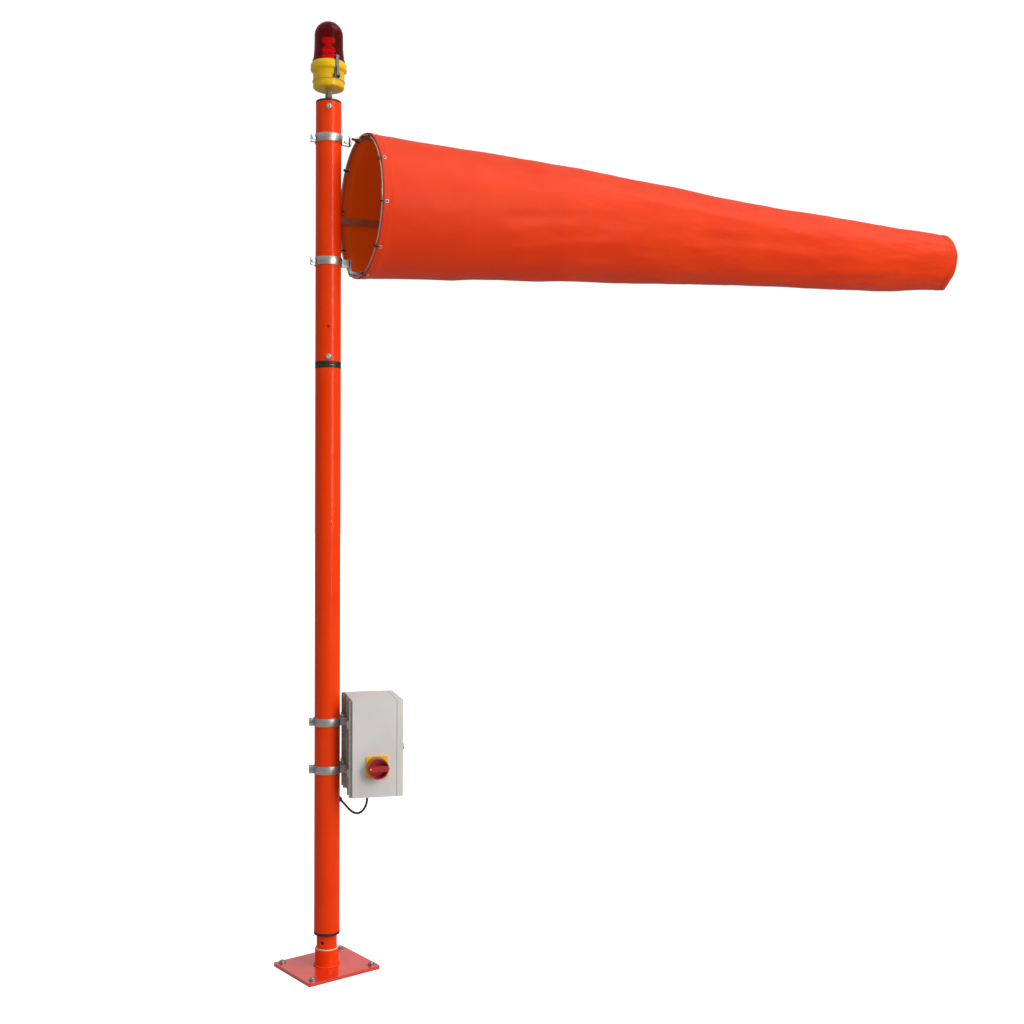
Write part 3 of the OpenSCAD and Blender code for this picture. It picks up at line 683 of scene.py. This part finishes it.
def unwrap(cloth):
    """UV coordinates in metres of cloth: round the sock, and along it."""
    layer = cloth.data.uv_layers.new(name="cloth")
    mean_r, mean_z = 0.16, 2.30
    for polygon in cloth.data.polygons:
        spots = []
        for loop in polygon.loop_indices:
            p = cloth.data.vertices[cloth.data.loops[loop].vertex_index].co
            share = math.atan2(p.z - mean_z, -p.dot(AWAY)) / (2 * math.pi)
            spots.append((loop, share, p.dot(ALONG)))
        shares = [share for _, share, _ in spots]
        wraps = max(shares) - min(shares) > 0.5
        for loop, share, along in spots:
            share += wraps and share < 0
            layer.data[loop].uv = (share * (2 * math.pi * mean_r), along)


def stitch_row(shapes, place, count, length):
    """Stitches as short low arches; place(k) gives a point, a direction and the outward way."""
    r = 0.0005
    arch = ((-0.5, -0.6), (-0.25, 0.7), (0.25, 0.7), (0.5, -0.6))
    for k in range(count):
        centre, run, out = place(k)
        side = run.cross(out)
        points = []
        for share, lift in arch:
            on_arch = centre + run * share * length + out * lift * r
            for a in (2 * math.pi * corner / 5 for corner in range(5)):
                points.append(on_arch + side * math.cos(a) * r + out * math.sin(a) * r * 0.8)
        ends = [tuple(range(4, -1, -1)), tuple(range(15, 20))]
        shapes.add(points, grid_faces(4, 5) + ends)


def ring_place(s, count):
    """Places for stitches that run round the sock."""
    def place(k):
        a = 2 * math.pi * k / count
        p, q = (on_sock(a + d, s, FOLD_T) for d in (-0.01, 0.01))
        centre, run = (p + q) / 2, (q - p).normalized()
        out = run.cross(ALONG).normalized()
        if out.dot(centre - at(s, 0, station(s)[1])) < 0:
            out.negate()
        return centre, run, out
    return place


def seam_place(side, step, start):
    """Places for stitches that run along the seam, to one side of its middle."""
    def place(k):
        s = start + k * step
        a = SEAM_ANGLE + side / plain_radius(s)
        p, q = on_sock(a, s - 0.002, FOLD_T), on_sock(a, s + 0.002, FOLD_T)
        centre = (p + q) / 2
        out = (centre - at(s, 0, station(s)[1])).normalized()
        return centre, (q - p).normalized(), out
    return place


def sock_stitches():
    """Two rows round each hem and two along the seam."""
    shapes = Pieces()
    edge, fold, hem_step, seam_step, gap = 0.0055, 0.0225, 0.005, 0.006, 0.004
    for s in (MOUTH_U + edge, MOUTH_U + fold, TAIL_U - fold, TAIL_U - edge):
        count = int(2 * math.pi * station(s)[0] / hem_step)
        stitch_row(shapes, ring_place(s, count), count, 0.0036)
    first = MOUTH_U + HEM_W + gap
    count = int((TAIL_U - HEM_W - gap - first) / seam_step)
    for side in (-0.0042, 0.0042):
        stitch_row(shapes, seam_place(side, seam_step, first), count, 0.0044)
    return shapes.build("sock_stitches", "thread")


def bend_with_sock(obj):
    """Bakes the object's transform into its mesh; the places where a bend behind the rear hoop would
    start and end are worked out but not used.
    """
    at(BEND_START_U, 0, SOCK_Z)
    at(BEND_END_U, 0, SOCK_Z)
    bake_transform(obj)


def make_sock():
    """The cloth, which stands for the three CAD nodes of the sock, and its stitches."""
    stitches = sock_stitches()
    cloth = sock_cloth()
    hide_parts("sock_collar", "sock_front", "sock_back")
    for obj in (cloth, stitches):
        bend_with_sock(obj)
    return cloth, stitches


def eyelet_frames():
    """Angle and local axes at each eyelet: X along the sock, Z straight out of the cloth."""
    for k in range(EYELET_COUNT):
        a = EYELET_FIRST + 2 * math.pi * k / EYELET_COUNT
        place = on_sock(a, EYELET_U, FOLD_T)
        out = (AWAY * -math.cos(a) + UP * math.sin(a)).normalized()
        yield a, local(place, ALONG, out.cross(ALONG), out)


def make_eyelets():
    """A rolled metal eyelet in each hole of the mouth's hem."""
    shapes = Pieces()
    rolled = [(0.0030, -0.0016), (0.0030, 0.0004)] + arc(0.0045, 0.0004, 0.0015, 180, 0, 8)
    washer = [(0.0060, -0.0002), (0.0052, -0.0006)]
    back = [(0.0058, -SHEET_T - 0.0002), (0.0058, -SHEET_T - 0.0008), (0.0036, -SHEET_T - 0.0010)]
    for _, matrix in eyelet_frames():
        shapes.add(*lathe(rolled + washer + back, matrix, 24, closed=True))
    rings = shapes.build("sock_eyelets", "stainless")
    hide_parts("eyelets")
    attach(rings, "head")
    return rings


def rounded_loop(x0, x1, z0, z1, r, steps=5):
    """Points and outward directions round a rounded rectangle."""
    loop = []
    for cx, cz, start in ((x1 - r, z1 - r, 90), (x1 - r, z0 + r, 0), (x0 + r, z0 + r, -90),
                          (x0 + r, z1 - r, -180)):
        for k in range(steps + 1):
            a = math.radians(start - 90 * k / steps)
            loop.append((cx + r * math.cos(a), cz + r * math.sin(a), math.cos(a), math.sin(a)))
    return loop


def make_ties():
    """A black tie runs from each eyelet round the front of the hoop, with its lock in front."""
    shapes = Pieces()
    half, thick = 0.0021, 0.0011
    for a, eyelet in eyelet_frames():
        out = eyelet.col[2].to_3d()
        matrix = local(UP * SOCK_Z, ALONG, out.cross(ALONG), out)
        cloth_r = (eyelet.translation - matrix.translation - ALONG * EYELET_U).length
        loop = rounded_loop(HOOP_FRONT_U - 0.0016, EYELET_U + 0.0010, HOOP_R - 0.0048,
                            cloth_r + 0.0016, 0.0014)
        points = []
        for x, z, nx, nz in loop:
            for y, lift in ((-half, 0), (half, 0), (half, -thick), (-half, -thick)):
                points.append(matrix @ Vector((x + nx * lift, y, z + nz * lift)))
        shapes.add(points, grid_faces(len(loop), 4, closed_rows=True))
        add_block(shapes, matrix, (HOOP_FRONT_U - 0.0044, -0.0029, HOOP_R - 0.0030),
                  (0.0030, 0.0058, 0.0048), 0.0006)
    ties = shapes.build("sock_ties", "black_nylon", smooth=False)
    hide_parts("ties")
    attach(ties, "head")
    return ties


def add_block(shapes, matrix, low, size, edge):
    """A block with chamfered edges all round."""
    x0, y0, z0 = low
    x1, y1, z1 = (a + b for a, b in zip(low, size))
    rings = []
    for z, inset in ((z0, edge), (z0 + edge, 0), (z1 - edge, 0), (z1, edge)):
        corners = []
        for cx, cy, sx, sy in ((x0, y0, 1, 1), (x1, y0, -1, 1), (x1, y1, -1, -1), (x0, y1, 1, -1)):
            first, second = (edge, inset), (inset, edge)
            if (sx, sy) in ((-1, 1), (1, -1)):
                first, second = second, first
            corners += [(cx + sx * second[0], cy + sy * second[1]),
                        (cx + sx * first[0], cy + sy * first[1])]
        rings += [matrix @ Vector((x, y, z)) for x, y in corners]
    faces = grid_faces(4, 8) + [tuple(range(7, -1, -1)), tuple(range(24, 32))]
    shapes.add(rings, faces)


# ---------------------------------------------------------------- light
def make_lens():
    """A dome on a slightly flared skirt, with rings of prisms inside that bend the light flat."""
    low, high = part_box("beacon_lens")
    centre = (low + high) / 2
    matrix = Matrix.Translation((centre.x, centre.y, low.z))
    height = high.z - low.z
    dome_r, wall, tip_r = 0.0425, 0.003, 0.0002
    dome_z = height - dome_r
    skirt_r, skirt_low, skirt_high = 0.0462, 0.006, 0.040
    outer = [(0.0484, 0), (0.0484, 0.004), (0.0466, 0.0045), (skirt_r, skirt_low)]
    outer += [(skirt_r + (dome_r + 0.0004 - skirt_r) * k / 12,
               skirt_low + (skirt_high - skirt_low) * k / 12) for k in range(1, 13)]
    outer += [(dome_r, dome_z)] + arc(0, dome_z, dome_r, 6, 88, 14) + [(tip_r, height)]
    inner = [(tip_r, height - wall)] + arc(0, dome_z, dome_r - wall, 88, 0, 14)
    z = dome_z - 0.003
    while z > 0.012:
        r = dome_r - wall + max(0, skirt_high - z) * 0.09
        inner += [(r, z), (r - 0.0012, z - 0.0014), (r, z - 0.0032)]
        z -= 0.0046
    inner += [(0.0432, 0.004), (0.0432, 0)]
    lens = add_mesh("beacon_lens_shell", *lathe(outer + inner, matrix, 72, closed=True), "red_lens")
    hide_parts("beacon_lens")
    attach(lens, "mast")


# ---------------------------------------------------------------- screws, weld and seal
def make_screws():
    """Round-headed socket screws that hold the sleeve on the rotor ring and the cap."""
    shapes = Pieces()
    low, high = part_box("head_screws")
    cad_head_r, gap = 0.0093, 0.0001
    socket = [(0.0001, 0.0022), (0.0030, 0.0022), (0.0032, 0.0051)]
    dome = [(0.0040, 0.0053), (0.0060, 0.0045), (0.0077, 0.0032), (0.0088, 0.0016),
            (0.0092, 0.0002), (0.0092, -0.0008)]
    shank = [(0.0025, -0.0008), (0.0025, -0.0070), (0.0001, -0.0070)]
    for z in (low.z + cad_head_r, high.z - cad_head_r):
        for turn in (-119, 61):
            out, _ = heading(turn)
            matrix = local(out * (MAST_R + gap) + UP * z, UP, out.cross(UP), out)
            shapes.add(*lathe(socket + dome + shank, matrix, 24))
    screws = shapes.build("head_screws_domed", "stainless")
    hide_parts("head_screws")
    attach(screws, "head")


def make_weld():
    """The bead that joins the socket to the plate."""
    low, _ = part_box("base_socket")
    matrix = Matrix.Translation(UP * low.z)

    def ripple(angle, row):
        return 0.0005 * math.sin(angle * 52) + 0.0005 * noise.noise(Vector((angle * 3, row, 0)))

    bead = [(0.0350, 0.0046), (0.0366, 0.0042), (0.0382, 0.0030), (0.0392, 0.0014),
            (0.0394, 0.0), (0.0350, 0.0001)]
    weld = add_mesh("socket_weld", *lathe(bead, matrix, 208, closed=True, wobble=ripple),
                    "orange_paint")
    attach(weld, "mast")


def make_seal():
    """A hand-laid line of sealant on the socket's rim."""
    low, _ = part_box("socket_seal")
    matrix = Matrix.Translation(UP * low.z)
    profile = [(0.0302, 0.0001), (0.0340, 0.0002), (0.0346, 0.0010), (0.0340, 0.0020),
               (0.0322, 0.0026), (0.0302, 0.0030)]
    steps, first_top_row = 120, 3

    def lumps(angle, row):
        if row in (0, len(profile) - 1):
            return 0.0
        return 0.0014 * noise.fractal(Vector((angle * 5.0, 3.0, row * 0.2)), 0.6, 2.0, 3)

    points, faces = lathe(profile, matrix, steps, closed=True, wobble=lumps)
    for k, p in enumerate(points):
        if k // steps >= first_top_row:
            angle = math.atan2(p.y, p.x)
            p.z += 0.0024 * noise.fractal(Vector((angle * 9.0, 9.0, 0)), 0.6, 2.0, 4) - 0.0002
    seal = add_mesh("socket_sealant", points, faces, "sealant")
    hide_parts("socket_seal")
    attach(seal, "mast")


# ---------------------------------------------------------------- knob and cable
def make_knob_dot():
    """The yellow dot on the knob's grip that shows which way it points."""
    switch_z = middle("switch_plate").z
    place = at_box(KNOB_ALONG_BOX - KNOB_DOT_FROM_AXIS, KNOB_SIDE - KNOB_PROUD, switch_z)
    matrix = local(place, BOX_ALONG, UP, -BOX_AWAY)
    dot = [(0.0001, 0.0010), (0.0020, 0.0009), (0.0026, 0.0004), (0.0027, -0.0006),
           (0.0001, -0.0006)]
    marker = add_mesh("knob_marker", *lathe(dot, matrix, 24), "yellow_plastic")
    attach(marker, "knob")


# the supply cable's route beside the mast in mm: distance along the box's way, and height
CABLE_ROUTE = (
    (42, 498), (46, 494), (52, 487.2), (60, 477.6), (69, 468), (79, 460.2), (90, 456.8),
    (100.5, 459.2), (108.8, 465.8), (114.8, 475), (118.8, 486), (120.6, 497), (121, 505), (121, 509),
)
CABLE_D = 0.007


def make_cable():
    """The short lead that hangs from the mast's grommet and rises into the box's gland."""
    points = [at_box(u / 1000, 0, z / 1000) for u, z in CABLE_ROUTE]
    curve = bpy.data.curves.new("supply_cable", "CURVE")
    curve.dimensions = "3D"
    curve.bevel_depth = CABLE_D / 2
    curve.bevel_resolution = 5
    curve.use_fill_caps = True
    curve.resolution_u = 6
    spline = curve.splines.new("BEZIER")
    spline.bezier_points.add(len(points) - 1)
    for k, bezier in enumerate(spline.bezier_points):
        bezier.co = points[k]
        bezier.handle_left_type = bezier.handle_right_type = "AUTO"
    curve.materials.append(FINISHES["cable_sheath"])
    cable = bpy.data.objects.new("supply_cable", curve)
    bpy.context.scene.collection.objects.link(cable)
    length = sum((b - a).length for a, b in zip(points, points[1:]))
    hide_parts("cable")
    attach(cable, "mast")
    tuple(points[0])


# ---------------------------------------------------------------- build
def make_floor():
    half = 60
    points = [(-half, -half, 0), (half, -half, 0), (half, half, 0), (-half, half, 0)]
    add_mesh("floor", points, [(0, 1, 2, 3)], "floor_finish")


def cloth_area():
    """Area of the cut cloth in square metres."""
    count = 200
    steps = [MOUTH_U + (TAIL_U - MOUTH_U) * k / count for k in range(count + 1)]
    return sum(math.pi * (station(a)[0] + station(b)[0]) * (b - a)
               for a, b in zip(steps, steps[1:]))


make_camera()
make_cable()
make_world()
sun_light((-0.50, 0.60, -1.0), 1.15, 40)
area_light("key", (1.3, -5.9, 2.9), (0.3, 0, 1.5), (2.2, 3.4), 155)
area_light("strip", (0.48, -4.47, 3.0), (0, 0, 2.4), (0.10, 4.5), 26)
bpy.context.scene.view_settings.view_transform = "Standard"
make_floor()

for finish, bevel, names in DRESS:
    for name in names:
        dress(nodes[name], finish, bevel)

cloth, stitches = make_sock()
eyelet_rings = make_eyelets()
ties = make_ties()
cloth_area()
make_lens()
make_screws()
make_weld()
make_seal()
make_knob_dot()
